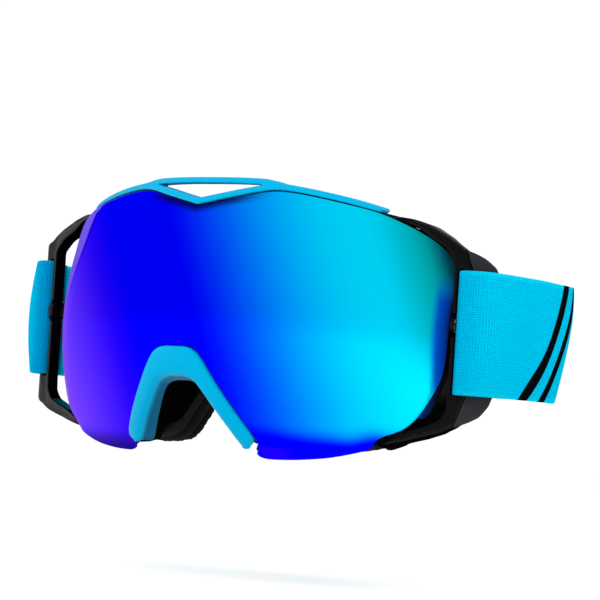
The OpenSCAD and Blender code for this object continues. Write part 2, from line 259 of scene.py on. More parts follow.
def clean(mesh, weld=0.01, angle=None, flat=None):
    """Joins points closer than weld millimetres, faces the surface outward, and keeps edges past angle sharp.

    flat is the angle in degrees below which neighbouring faces are merged.
    """
    bm = bmesh.new()
    bm.from_mesh(mesh)
    if weld:
        bmesh.ops.remove_doubles(bm, verts=bm.verts, dist=weld * MM)
    if flat:
        bmesh.ops.dissolve_limit(bm, angle_limit=math.radians(flat), verts=bm.verts, edges=bm.edges)
    elif weld:
        bmesh.ops.dissolve_degenerate(bm, dist=1e-7, edges=bm.edges)
    bmesh.ops.recalc_face_normals(bm, faces=bm.faces)
    for face in bm.faces:
        face.smooth = True
    if angle is not None:
        for e in bm.edges:
            e.smooth = not (len(e.link_faces) == 2 and e.calc_face_angle(0) > math.radians(angle))
    bm.to_mesh(mesh)
    bm.free()


def triangulate(outer, holes, spacing):
    """Fills the outer loop, less its holes, with an even grid. Returns the points and the triangles."""
    loops = [outer] + list(holes)
    pts = np.vstack(loops)
    edges, start = [], 0
    for loop in loops:
        n = len(loop)
        edges += [(start + i, start + (i + 1) % n) for i in range(n)]
        start += n

    def filled(p):
        keep = inside(p, outer)
        for hole in holes:
            keep &= ~inside(p, hole)
        return keep
    low, high = outer.min(0), outer.max(0)
    gx = np.arange(low[0] + spacing / 2, high[0], spacing)
    gz = np.arange(low[1] + spacing / 2, high[1], spacing * 0.87)
    grid = np.array([(x + (spacing / 2 if j % 2 else 0), z) for j, z in enumerate(gz) for x in gx])
    grid = grid[filled(grid)]
    gap = np.sqrt(((grid[:, None, :] - pts[None, :, :]) ** 2).sum(-1)).min(1)
    everything = np.vstack([pts, grid[gap > spacing * 0.55]])
    co, _, tris, _, _, _ = delaunay_2d_cdt([Vector(p) for p in everything], edges, [], 0, 1e-7)
    co = np.array([tuple(c) for c in co])
    tris = np.array([t for t in tris if len(t) == 3])
    return co, tris[filled(co[tris].mean(1))]


def inside(p, loop):
    """Which points lie inside the closed loop."""
    x, z = p[:, 0], p[:, 1]
    result = np.zeros(len(p), bool)
    a, b = loop, np.roll(loop, -1, 0)
    for (x0, z0), (x1, z1) in zip(a, b):
        crosses = (z0 > z) != (z1 > z)
        if z0 == z1:
            continue
        result ^= crosses & (x < (x1 - x0) * (z - z0) / (z1 - z0) + x0)
    return result


def plate(name, outer, holes, place, front=0.5, back=0.3, spacing=2.0, rows=3, side_rows=1):
    """A sheet with rounded edges.

    place(u, v, side) gives the 3-D point: side 0 is the front face and 1 the back. front and back are the
    radii of the quarter rounds, in the sheet's own millimetres.
    """
    outer = ccw(np.asarray(outer, float))
    loops = [outer] + [ccw(np.asarray(h, float))[::-1] for h in holes]
    verts, faces = [], []

    def add(u, v, side):
        start = len(verts)
        verts.extend(place(u, v, np.full(len(u), float(side))))
        return start

    for radius, side in ((front, 0), (back, 1)):
        flat = [inset(loop, radius) for loop in loops]
        co, tris = triangulate(flat[0], [h[::-1] for h in flat[1:]], spacing)
        start = add(co[:, 0], co[:, 1], side)
        faces += [[start + i for i in (t if side else t[::-1])] for t in tris]
    first = outer[:1, 0], outer[:1, 1]
    thickness = np.linalg.norm(place(*first, np.zeros(1)) - place(*first, np.ones(1)))
    # Each level of the edge: how far in it lies, and how far through the sheet.
    levels = []
    for k in range(rows + 1):
        a = math.pi / 2 * k / rows
        levels.append((front * (1 - math.sin(a)), front * (1 - math.cos(a)) / thickness))
    for k in range(1, side_rows):
        levels.append((0, front / thickness + (1 - (front + back) / thickness) * k / side_rows))
    for k in range(rows + 1):
        a = math.pi / 2 * (1 - k / rows)
        levels.append((back * (1 - math.sin(a)), 1 - back * (1 - math.cos(a)) / thickness))
    for loop in loops:
        n = len(loop)
        starts = []
        for d, side in levels:
            ring = inset(loop, d) if d > 1e-9 else loop
            starts.append(add(ring[:, 0], ring[:, 1], side))
        for s0, s1 in zip(starts, starts[1:]):
            faces += [[s0 + i, s0 + (i + 1) % n, s1 + (i + 1) % n, s1 + i] for i in range(n)]
    obj = make_mesh(name, verts, faces)
    clean(obj.data)
    return obj


def sweep(name, rings, closed_path=False, angle=None):
    """A solid through rings of equal point counts."""
    m, n = len(rings), len(rings[0])
    faces = []
    for i in range(m if closed_path else m - 1):
        a, b = i * n, (i + 1) % m * n
        faces += [[a + j, a + (j + 1) % n, b + (j + 1) % n, b + j] for j in range(n)]
    if not closed_path:
        faces += [list(range(n))[::-1], list(range((m - 1) * n, m * n))]
    obj = make_mesh(name, np.vstack(rings), faces)
    clean(obj.data, angle=angle)
    return obj


def mirror_x(obj, name):
    """Replaces the object with its mirror image on the wearer's right."""
    mesh = obj.data.copy()
    bpy.data.objects.remove(obj)
    mesh.transform(Matrix.Scale(-1, 4, (1, 0, 0)))
    mesh.flip_normals()
    return add_object(name, mesh)


# ---------------------------------------------------------------- outlines, right half, seen from the front

LENS_TOP = [
    (0, 37), (6, 38.4), (14, 40.3), (20.5, 41.9), (25.5, 42.6), (31, 42.3), (38.3, 41.2), (47.6, 39.4),
    (56.4, 37.3), (63.7, 34.2), (69.7, 30.5), (73.8, 26.6), (76, 22), (76.9, 15), (77, 6), (77, -1),
    (76.6, -9), (75.3, -16.4), (71.3, -25.8), (67.8, -30.9), (64.6, -33.3), (61.4, -34.9), (59.2, -36.6),
    (57.7, -38.8), (54.6, -40.4), (46, -42.8), (37, -44.1), (31, -44.5), (26.8, -44.5), (24.6, -43.9),
    (23.9, -43.0),
]
LENS_NOSE = [
    (23.9, -43.0), (24.5, -41.9), (25.1, -40.6), (24.9, -38.6), (21.9, -32.8), (15.4, -22.2), (10.4, -13.9),
    (7.6, -10.7), (4.4, -9.6), (0, -9.5),
]
ARCH_OUTER = [
    (22.9, -40.3), (24.3, -38.2), (21.6, -32.9), (15.1, -22.3), (10.1, -14.05), (7.35, -11.0), (4.3, -9.85),
    (0, -9.75),
]
ARCH_INNER = [
    (19.2, -40.1), (17.9, -38.2), (15.7, -34.6), (12.2, -29.0), (9.0, -24.0), (6.6, -21.2), (3.2, -19.8),
    (0, -19.6),
]
BROW_LOWER = [
    (56.4, 37.45), (47.6, 39.6), (38.3, 41.4), (31, 42.5), (25.5, 42.8), (20.5, 42.1), (14, 40.5), (6, 38.6),
    (0, 37.2),
]
BROW_UPPER = [
    (56.9, 38.5), (56.4, 39.1), (54.6, 39.7), (47.4, 41.6), (38, 43.5), (31, 44.6), (26.5, 45.3), (23, 46.2),
    (19, 46.7), (9, 46.9), (0, 46.9),
]
SLOT_UPPER = [(20.2, 44.5), (17, 44.7), (9, 44.85), (0, 44.85)]
SLOT_LOWER = [(20.2, 44.3), (14, 42.9), (7, 41.2), (0, 39.6)]
FACE_OUTER = [
    (0, 37.5), (14, 39.5), (26, 40.6), (38, 39.6), (48, 36.6), (55, 32.6), (62, 27.6), (69, 21.6), (73, 12),
    (73.6, 1), (72.8, -10), (69.6, -20), (62.6, -28.6), (54, -35), (43, -39), (31, -40), (20.6, -37.8),
    (14.6, -30.6), (9.4, -23.6), (4, -20.2), (0, -19.7),
]
FACE_INNER = [
    (0, 25), (13, 27), (24, 28.3), (36, 27.6), (45, 26), (51, 23.4), (56.5, 19.6), (60.6, 14.6), (63, 8),
    (63.4, 0), (62.4, -8), (59.6, -15.4), (54, -22.4), (46.6, -27.8), (38.4, -30.6), (31, -30),
    (25.6, -26.4), (20.4, -20), (14, -12.6), (6.8, -8.4), (0, -7.2),
]


def on_lens(u, v, depth):
    """The point at x = u and z = v on the lens's front surface, moved back along the normal by depth."""
    u, v, depth = np.broadcast_arrays(np.asarray(u, float), np.asarray(v, float), np.asarray(depth, float))
    surface = np.stack([u, lens_y(u, v), v], -1)
    return surface - lens_normal(u, v) * depth[..., None]


def on_face(u, v, thickness):
    """The point on the face curve at x = u on the skin side and z = v, moved forward by thickness."""
    u, v, thickness = np.broadcast_arrays(*(np.asarray(value, float) for value in (u, v, thickness)))
    angle = np.arcsin(np.clip(u / FACE_R, -0.95, 0.95))
    r = FACE_R + thickness
    return np.stack([r * np.sin(angle), FACE_Y - r * np.cos(angle), v], -1)


# ---------------------------------------------------------------- lens

OUTER_LENS_T = 1.2
RIM_T = 1.9
AIR_GAP = 3.4
INNER_LENS_T = 0.8
STACK_PLAY = 0.05
# How far in each layer's edge lies, for shrunk().
RIM_OUTER, RIM_INNER = 0.08, 0.41
INNER_EDGE, GASKET_INNER = 0.42, 0.6


def lens_sheet(name, outline, holes, depth, thickness, front=0.2, back=0.2, spacing=3.0):
    """A layer of the lens stack: a shell between two depths behind the lens's front surface."""
    return plate(name, outline, holes, lambda u, v, side: on_lens(u, v, depth + side * thickness),
                 front, back, spacing)


def shrunk(outline, share):
    """The lens outline drawn in towards the clear opening: 0 is the edge, 1 is about 9 mm inside it."""
    centre = np.array([0, 8.0])
    reach = np.array([9.0 / 77, 8.0 / 44]) * share
    moved = outline + (centre - outline) * reach
    nose = np.clip(1 - np.abs(outline[:, 0]) / 30, 0, 1) * (outline[:, 1] < 0)
    moved[:, 1] += 7.5 * share * nose
    return moved


def build_lens():
    """The mirrored lens, the rim that carries it, the gasket and the inner lens."""
    outline = ccw(mirrored(np.vstack([catmull(LENS_TOP)[:-1], catmull(LENS_NOSE)])))
    behind = OUTER_LENS_T + STACK_PLAY
    outer = lens_sheet("mirror_lens", outline, [], 0, OUTER_LENS_T, 0.55, 0.3, 2.0)
    rim = lens_sheet("lens_rim_carrier", shrunk(outline, RIM_OUTER), [shrunk(outline, RIM_INNER)],
                     behind, RIM_T)
    inner_edge = shrunk(outline, INNER_EDGE)
    gasket = lens_sheet("lens_gasket_foam", inner_edge, [shrunk(outline, GASKET_INNER)], behind,
                        AIR_GAP - 2 * STACK_PLAY)
    inner = lens_sheet("clear_inner_lens", inner_edge, [], OUTER_LENS_T + AIR_GAP, INNER_LENS_T)
    return outer, rim, gasket, inner


# ---------------------------------------------------------------- cyan trims

TRIM_PROUD = 1.2
BROW_T = 5.6
BROW_END_BACK = 1.8
ARCH_LIP_TOP = 4.9
ARCH_LIP_FOOT = 6.8
ARCH_WALL_DRAFT = 0.9
ARCH_BACK = 2.8
# The rounded feet, from the tip inwards: how much the section shrinks, and how far it reaches down.
ARCH_FEET = ((0.82, 0.75), (0.93, 0.35))


def build_brow():
    """The trim along the top of the lens, with its open V."""
    outline = ccw(mirrored(np.vstack([catmull(BROW_UPPER, 0.9)[::-1], catmull(BROW_LOWER, 0.9)])))
    slot = ccw(mirrored(np.vstack([catmull(SLOT_UPPER, 0.9)[::-1], catmull(SLOT_LOWER, 0.9)])))

    # The trim's depth runs straight back, so that the V is open to the light behind it.
    def place(u, v, side):
        back = ramp_up(np.abs(u), 30, 58) ** 1.5 * BROW_END_BACK
        return np.stack([u, lens_y(u, v) - TRIM_PROUD + back + side * BROW_T, v], -1)
    return plate("brow_trim_bar", outline, [slot], place, 0.6, 0.4, 1.5, rows=4, side_rows=3)


def evenly(points, count):
    """The smooth curve through the half outline, at an even count, and its mirror image."""
    curve = catmull(points, 0.2)
    at = np.linspace(0, 1, len(curve))
    half = np.stack([np.interp(np.linspace(0, 1, count), at, curve[:, k]) for k in range(2)], -1)
    return np.vstack([half, (half * [-1, 1])[-2::-1]])


def build_arch():
    """The trim over the nose, with the wall that runs back from it."""
    rings = []
    for outer, inner in zip(evenly(ARCH_OUTER, 70), evenly(ARCH_INNER, 70)):
        width = np.linalg.norm(outer - inner)
        across = (outer - inner) / width
        # Distance across from the inner edge, and depth behind the lens's surface.
        front = [(width, 1.6), (width, -0.2), (width - 0.18, -0.75), (width - 0.6, -1.08),
                 (width - 1.3, -1.22), (width * 0.55, -1.35), (2.3, -1.3), (1.5, -1.1), (0.85, -0.6),
                 (0.35, 0.3), (0.08, 1.6)]
        ring = [on_lens(*(inner + across * a), d) for a, d in front]
        # The inner wall runs straight back, and deeper towards the feet.
        wall_front = ring[-1][1]
        down = ramp_up(-inner[1], 20, 38)
        wall_back = on_lens(*inner, ARCH_LIP_TOP + (ARCH_LIP_FOOT - ARCH_LIP_TOP) * down)[1]
        for t in (0.3, 0.6, 1.0):
            x, z = inner - across * ARCH_WALL_DRAFT * t
            ring.append(np.array([x, wall_front + (wall_back - wall_front) * t, z]))
        x, z = inner + across * 0.7
        ring.append(np.array([x, wall_back, z]))
        ring += [on_lens(*(inner + across * a), d)
                 for a, d in ((1.7, 4.0), (2.6, ARCH_BACK), (width, ARCH_BACK))]
        rings.append(np.array(ring))

    def foot(ring):
        centre = ring.mean(0)
        return [centre + (ring - centre) * share - [0, 0, drop] for share, drop in ARCH_FEET]
    return sweep("nose_arch_band", foot(rings[0]) + rings + foot(rings[-1])[::-1], angle=50)


# ---------------------------------------------------------------- outriggers

PLAN_MID = [
    (56.8, -3.4), (58.6, -4.4), (60, -5.6), (63, -5.6), (66, -5.2), (70, -4.6), (74, -4.3), (78.4, -3.8),
    (81, -3.3), (83, -2.95), (84.6, -2.1), (86, -0.6), (87.2, 1.4), (88.1, 3.9), (88.8, 6.7),
]
PLAN_HALF = [
    (56.8, 1.4), (58.6, 3.0), (60, 4.7), (63, 4.7), (66, 4.3), (70, 3.6), (74, 3.1), (78.4, 2.6),
    (81, 2.25), (83, 1.9), (84.6, 1.45), (86, 1.15), (87.2, 1.0), (88.1, 0.9), (88.8, 0.8),
]
# Corners as (x, height, rounding); past TURN_X the first value is TURN_X plus the length beyond it.
OUTRIGGER_OUTER = [
    (57.2, 35.9, 0.6), (60.5, 36.7, 1.5), (65, 36.0, 8), (70.8, 34.2, 12), (76.8, 30.9, 12), (82.6, 26.7, 7),
    (84 + 4.3, 24.3, 4), (84 + 9.4, 21.5, 3), (84 + 11.2, 18.6, 2), (84 + 11.2, -19.2, 2),
    (84 + 9.2, -22.8, 5), (84 + 5.2, -26.6, 6), (83, -29.9, 10), (77.8, -32.7, 12), (71.8, -34.6, 12),
    (66, -36.2, 12), (60.6, -37.7, 2), (58.4, -38.1, 1), (57.2, -37.2, 0.8),
]
OUTRIGGER_INNER = [
    (59.4, -35.9, 1), (61.6, -34.9, 3), (64.6, -33.6, 6), (67.8, -32.1, 8), (72.9, -30.4, 6),
    (77.1, -28.4, 4), (79.0, -25.4, 2.5), (79.2, -20, 1), (79.2, 20, 1), (79.3, 23.2, 3), (75.8, 27.2, 5),
    (70.8, 30.1, 6), (66.5, 33.0, 6), (61.4, 34.9, 2), (58.6, 35.2, 0.6),
]

BAR_X = 79.2
SLOT_IN, SLOT_OUT = 80.5, 82.9
SLOT_TOP = STRAP_W / 2 + 0.45
BUTTON_CLEARANCE = 0.3
# The discs round the hinge pins, as (lower, upper) heights.
HINGE_TABS = ((32.9, 35.7), (-36.9, -34.6))
TAB_R = 2.8
# The plan turns back here; past it, outline corners are given by their length beyond it.
TURN_X = 84


def plan_curve():
    """The outrigger's middle line seen from above, with its half thickness, by length along it."""
    line = catmull(PLAN_MID, 0.5)
    half = np.interp(line[:, 0], [p[0] for p in PLAN_HALF], [p[1] for p in PLAN_HALF])
    return line, half, run_length(line) + line[0, 0]


PLAN_LINE, PLAN_THICK, PLAN_LENGTH = plan_curve()


def on_outrigger(u, v, side):
    """u is the length along the plan curve, v the height, side 0 the outer face and 1 the inner face."""
    x = np.interp(u, PLAN_LENGTH, PLAN_LINE[:, 0])
    y = np.interp(u, PLAN_LENGTH, PLAN_LINE[:, 1])
    dx = np.gradient(PLAN_LINE[:, 0], PLAN_LENGTH)
    dy = np.gradient(PLAN_LINE[:, 1], PLAN_LENGTH)
    tx, ty = np.interp(u, PLAN_LENGTH, dx), np.interp(u, PLAN_LENGTH, dy)
    norm = np.sqrt(tx ** 2 + ty ** 2)
    half = np.interp(u, PLAN_LENGTH, PLAN_THICK)
    shift = (1 - 2 * np.asarray(side, float)) * half
    return np.stack([x + ty / norm * shift, y - tx / norm * shift, np.asarray(v, float)], -1)


def build_outrigger(name):
    """The arm on the wearer's left: an open loop that carries the strap."""
    # The strap bar is broken at the button, where the boss round it carries the bar; the slot lies behind.
    low = BUTTON_AT[2] - BUTTON_R - BUTTON_CLEARANCE
    high = BUTTON_AT[2] + BUTTON_R + BUTTON_CLEARANCE
    slot = [(BAR_X, low, 0.3), (SLOT_IN, low, 0.3), (SLOT_IN, -SLOT_TOP, 0.8), (SLOT_OUT, -SLOT_TOP, 0.8),
            (SLOT_OUT, SLOT_TOP, 0.8), (SLOT_IN, SLOT_TOP, 0.8), (SLOT_IN, high, 0.3), (BAR_X, high, 0.3)]
    below = [c for c in OUTRIGGER_INNER if c[1] < 0]
    above = [c for c in OUTRIGGER_INNER if c[1] > 0]
    corners = OUTRIGGER_OUTER + below + slot + above
    turn = np.interp(TURN_X, PLAN_LINE[:, 0], PLAN_LENGTH)
    points = [(np.interp(x, PLAN_LINE[:, 0], PLAN_LENGTH) if x <= TURN_X else turn + x - TURN_X, z)
              for x, z, _ in corners]
    outline = ccw(rounded(points, [c[2] for c in corners], 0.6))
    body = plate(name + "_arms", outline, [], on_outrigger, 0.55, 0.45, 1.1, rows=3, side_rows=3)
    tabs = []
    for z0, z1 in HINGE_TABS:
        profile = [(z0, 0), (z0, TAB_R - 0.3), (z0 + 0.3, TAB_R),
                   (z1 - 0.3, TAB_R), (z1, TAB_R - 0.3), (z1, 0)]
        tabs.append(lathe(name + "_tab", profile, (*PIN_AT[:2], 0), (0, 0, 1)))
    ring = [(79.25, 0.1), (79.15, 0.25), (79.2, 0.4), (79.4, 0.55), (80.7, 0.6), (80.9, 0.4), (80.9, 0.1)]
    boss = [[(x, BUTTON_AT[1] + (BUTTON_R + r) * math.cos(a), BUTTON_AT[2] + (BUTTON_R + r) * math.sin(a))
             for x, r in ring] for a in np.linspace(0, 2 * math.pi, 40, endpoint=False)]
    return join(name, [body, sweep(name + "_boss", boss, closed_path=True, angle=40)] + tabs)


# ---------------------------------------------------------------- small hard parts

def lathe(name, profile, centre, axis, segments=40):
    """Turns (along, radius) pairs round an axis through centre. Both ends close on the axis."""
    axis = np.asarray(axis, float)
    side = np.cross(axis, [0.3, 0.5, 0.81])
    side /= np.linalg.norm(side)
    other = np.cross(axis, side)
    a = np.linspace(0, 2 * math.pi, segments, endpoint=False)
    turned = np.outer(np.cos(a), side) + np.outer(np.sin(a), other)
    centre = np.asarray(centre, float)
    rings = [centre + axis * along + turned * max(radius, 0.01) for along, radius in profile]
    return sweep(name, rings, angle=40)


def join(name, objs):
    """Makes one mesh of several."""
    bm = bmesh.new()
    for o in objs:
        bm.from_mesh(o.data)
        bpy.data.objects.remove(o)
    mesh = bpy.data.meshes.new(name)
    bm.to_mesh(mesh)
    bm.free()
    return add_object(name, mesh)


def from_cad(node, name, bevel, angle=32, segments=2):
    """A welded copy of a CAD node with softened edges."""
    mesh = frame["nodes"][node].data.copy()
    clean(mesh, 0.005, angle, flat=0.6)
    mesh.materials.clear()
    obj = add_object(name, mesh)
    mod = obj.modifiers.new("Bevel", "BEVEL")
    mod.width = bevel * MM
    mod.segments = segments
    mod.limit_method = "ANGLE"
    mod.angle_limit = math.radians(angle)
    mod.harden_normals = False
    return obj


def build_chassis(name):
    """The shell, with moulding draft: its lower wall rises and its upper corners fall towards the face."""
    obj = from_cad("chassis", name, 0.25)
    co = get_points(obj)
    x, y, z = np.abs(co[:, 0]), co[:, 1], co[:, 2]
    behind = np.clip(y - lens_y(x, z), 0, 40)
    clear_of_hinge = 1 - eased(x, 54.5, 57)
    low = eased(-z, 31, 41) * clear_of_hinge
    high = eased(z, 33, 36) * eased(x, 40, 50)
    co[:, 2] += low * (0.06 * behind + 2.0 + 0.9 * eased(x, 38, 26))
    co[:, 2] -= high * (1.35 + 0.03 * behind)
    set_points(obj, co)
    return obj


def build_button(name, sign):
    """One round button, with a groove round its raised middle."""
    r = BUTTON_R
    inner_end = button_low[0] + 1.1
    deep = button_high[0] + 0.6 - inner_end
    profile = [(0, 0), (0, r * 0.8), (0.15, r - 0.15), (0.3, r), (deep - 0.75, r), (deep - 0.4, r - 0.15),
               (deep - 0.3, r - 0.5), (deep - 0.55, r - 0.75), (deep - 0.6, r - 1.0), (deep - 0.3, r - 1.2),
               (deep - 0.1, r - 1.5), (deep, r * 0.3), (deep, 0)]
    return lathe(name, profile, (sign * inner_end, *BUTTON_AT[1:]), (sign, 0, 0))


def build_pins(name, sign):
    """The two hinge pins of one side."""
    r = (pins_high[0] - pins_low[0]) / 2
    parts = []
    for z0, z1 in ((28.4, pins_high[2]), (pins_low[2], -30.0)):
        profile = [(z0, 0), (z0, r - 0.25), (z0 + 0.25, r), (z1 - 0.3, r), (z1 - 0.08, r - 0.2),
                   (z1, r * 0.5), (z1, 0)]
        parts.append(lathe(name, profile, (sign * PIN_AT[0], PIN_AT[1], 0), (0, 0, 1), 28))
    return join(name, parts)


# ---------------------------------------------------------------- strap

LOOP_PLAN = [
    (90.3, 14), (89.2, 11), (87.2, 7.2), (85.9, 3.4), (84.2, 0.8), (82.5, 0.2), (81.75, -1.1),
    (81.75, -4.8), (82.4, -5.9), (83.5, -6.2), (85.6, -5.7), (88.7, -3.8), (91.0, 0.1), (92.3, 6.0),
    (93.1, 14),
]
SIDE_PLAN = [
    (93.2, 19), (93.8, 30), (90.6, 52), (84, 68), (74, 83), (63, REAR_Y - 18), (54, REAR_Y - 7.5),
    (46, REAR_Y - 1.8), (37.8, REAR_Y),
]


# How far the rear run sits above the CAD's, the band bows at its fold, and the band leans at the back.
REAR_HALF = 37.8
REAR_LIFT = 2.4
FOLD_BOW = 2.1
LEAN = 4.4
LEAN_SHIFT = -1.4
WAVE = 0.5


def ribbon(name, p, bulge=None, cols=26, centre_z=0.0, sign=1):
    """A woven band along a plan path, standing up in z. bulge(length) is how far its middle bows out."""
    n = len(p)
    tangent = np.gradient(p, axis=0)
    tangent /= np.linalg.norm(tangent, axis=1, keepdims=True)
    normal = np.stack([tangent[:, 1], -tangent[:, 0]], -1)
    length = run_length(p)
    # The section: outer face, rounded edge, inner face, rounded edge.
    across = np.linspace(-1, 1, cols + 1)
    half = STRAP_T / 2
    edge = STRAP_W / 2 - half * 0.8
    turn = [(half * 0.8 * math.sin(t), half * math.cos(t)) for t in (0.9, math.pi / 2, math.pi - 0.9)]
    section = [(a * edge, half) for a in across] + [(edge + a, b) for a, b in turn]
    section += [(a * edge, -half) for a in across[::-1]] + [(-edge - a, -b) for a, b in turn]
    section = np.array(section)
    m = len(section)
    verts, weave = [], []
    for i in range(n):
        bow = bulge(length[i]) if bulge else 0.0
        off = section[:, 1] + bow * (1 - (section[:, 0] / (STRAP_W / 2)) ** 2)
        verts.append(np.column_stack([p[i] + normal[i] * off[:, None], section[:, 0] + centre_z]))
        weave.append(np.column_stack([np.full(m, length[i]), section[:, 0], np.zeros(m)]))
    verts = np.vstack(verts)
    verts[:, 0] *= sign
    faces = []
    for i in range(n - 1):
        faces += [[i * m + j, i * m + (j + 1) % m, (i + 1) * m + (j + 1) % m, (i + 1) * m + j]
                  for j in range(m)]
    faces += [list(range(m)), list(range((n - 1) * m, n * m))[::-1]]
    obj = make_mesh(name, verts, faces)
    layer = obj.data.attributes.new("weave", "FLOAT_VECTOR", "POINT")
    layer.data.foreach_set("vector", np.vstack(weave).astype(np.float32).ravel())
    clean(obj.data, weld=0)
    return obj


def build_strap(name, sign):
    """One side's band, from inside the slot round the fold to the slider, and its length up to the fold."""
    loop = catmull(LOOP_PLAN, 0.6)
    side = catmull(LOOP_PLAN[-2:] + SIDE_PLAN, 1.6)
    start = np.argmin(np.linalg.norm(side - np.array(LOOP_PLAN[-1]), axis=1))
    path = np.vstack([loop, side[start + 1:]])
    lengths = run_length(path)
    total, fold = lengths[-1], lengths[len(loop) - 1]

    def bulge(s):
        if s < fold:
            return FOLD_BOW * float(eased(s, fold * 0.56, fold * 0.7))
        t = (s - fold) / (total - fold)
        return FOLD_BOW * (1 - t) + WAVE * math.sin(math.pi * min(t, 1.0))
    obj = ribbon(name, path, bulge, sign=sign)
    # The band leans inwards at its lower edge as it rounds the back of the head.
    co = get_points(obj)
    turn = eased(co[:, 1], 30, 90) * np.clip((REAR_Y - co[:, 1]) / 22, 0, 1)
    up = co[:, 2] / (STRAP_W / 2)
    co[:, 0] += sign * (up * LEAN + WAVE * np.sin(math.pi * up) + LEAN_SHIFT) * turn
    co[:, 2] += REAR_LIFT * eased(co[:, 1], 45, REAR_Y - 8)
    set_points(obj, co)
    return obj, fold


def straight_band(name, x0, x1, y):
    """A flat run of band across the back."""
    count = max(3, int(abs(x1 - x0) / 1.5))
    return ribbon(name, np.column_stack([np.linspace(x1, x0, count), np.full(count, y)]), centre_z=REAR_LIFT)


# ---------------------------------------------------------------- soft face parts

# The vent foam's back lies on this radius round the head; its upper edge follows these rows of LENS_TOP.
VENT_R = 112.4
VENT_ROWS = 13

def face_ring(count):
    """Matching points on the seal's outer and inner edges, all the way round.

    The outlines are matched by their rows, so that the section stays square to the band.
    """
    loops = [mirrored(spline(np.array(half, float), steps=10)) for half in (FACE_OUTER, FACE_INNER)]
    loops = [np.vstack([loop, loop[:1]]) for loop in loops]
    length = run_length((loops[0] + loops[1]) / 2)
    s = np.linspace(0, length[-1], count, endpoint=False)
    return [np.stack([np.interp(s, length, loop[:, k]) for k in range(2)], -1) for loop in loops]


def thinned(points, step, count):
    """The closed section, at count points picked evenly by length."""
    points = resample(points, True, step)
    return points[np.linspace(0, len(points) - 1, count + 1).astype(int)[:-1]]


def soft_band(name, share, reach, radius, swell, seed, rough, pile=0.0, count=220):
    """A padded band round the face opening, with a rounded section and a slightly uneven surface.

    share is the part of the ring's width that it fills, reach its radii from the head's axis, swell how far
    its sides bulge, and pile the height of the nap that stands off the surface.
    """
    r0, r1 = reach
    mid = (r0 + r1) / 2
    rng = np.random.default_rng(seed)
    phase = rng.uniform(0, 6.28, 8)
    rings = []
    for k, (outer, inner) in enumerate(zip(*face_ring(count))):
        width = np.linalg.norm(inner - outer)
        across = (inner - outer) / width
        a0, a1 = share[0] * width, share[1] * width
        section = thinned(rounded([(a0, r0), (a1, r0), (a1, r1), (a0, r1)], radius, 0.55), 0.1, 43)
        fullness = np.clip(1 - ((section[:, 1] - mid) / ((r1 - r0) / 2)) ** 2, 0, 1)
        side = np.where(section[:, 0] < (a0 + a1) / 2, -1, 1)
        near = np.clip(np.abs(section[:, 0] - (a0 + a1) / 2) / ((a1 - a0) / 2), 0, 1) ** 6
        section[:, 0] += side * swell * fullness * near
        ripple = rough * (math.sin(k * 0.37 + phase[0]) * 0.5 + math.sin(k * 0.83 + phase[1]) * 0.3
                          + np.sin(section[:, 0] * 1.3 + k * 0.21 + phase[2]) * 0.4)
        section[:, 0] += side * ripple * near
        xz = outer + np.outer(section[:, 0], across)
        depth = section[:, 1] - FACE_R
        if pile:
            nap = rng.uniform(0, pile, len(section))
            xz = xz + np.outer(side * near * nap, across)
            depth = depth - nap * (section[:, 1] < mid) * 0.6
        rings.append(on_face(xz[:, 0], xz[:, 1], depth))
    return sweep(name, rings, closed_path=True)


def vent_strip(name, x0, x1, top):
    """An open-cell foam strip inside the wall, behind the vents."""
    edge = np.array(LENS_TOP, float)
    edge = edge[edge[:, 1] > 0][:VENT_ROWS] if top else edge[edge[:, 1] < 0][::-1]
    inward = -1 if top else 1
    rings = []
    for x in np.arange(x0, x1 + 0.01, 1.25):
        z_edge = np.interp(abs(x), edge[:, 0], edge[:, 1])
        za, zb = z_edge + inward * 2.9, z_edge + inward * 4.5
        back = FACE_Y - math.sqrt(VENT_R ** 2 - x * x)
        front = float(lens_y(x, (za + zb) / 2, 6.2))
        section = thinned(rounded([(front, za), (back, za), (back, zb), (front, zb)], 0.45, 0.5), 0.05, 40)
        rings.append(np.column_stack([np.full(len(section), x), section]))
    return sweep(name, rings)


# ---------------------------------------------------------------- materials

GRAIN_DEPTH = 0.00012
YARN = 0.78
# Where the trim's colour takes the lens's apex to be, in millimetres.
TRIM_FRONT = -46.2

def srgb(r, g, b):
    """sRGB bytes to linear."""
    out = []
    for c in (r, g, b):
        c /= 255
        out.append(c / 12.92 if c <= 0.04045 else ((c + 0.055) / 1.055) ** 2.4)
    return (*out, 1.0)


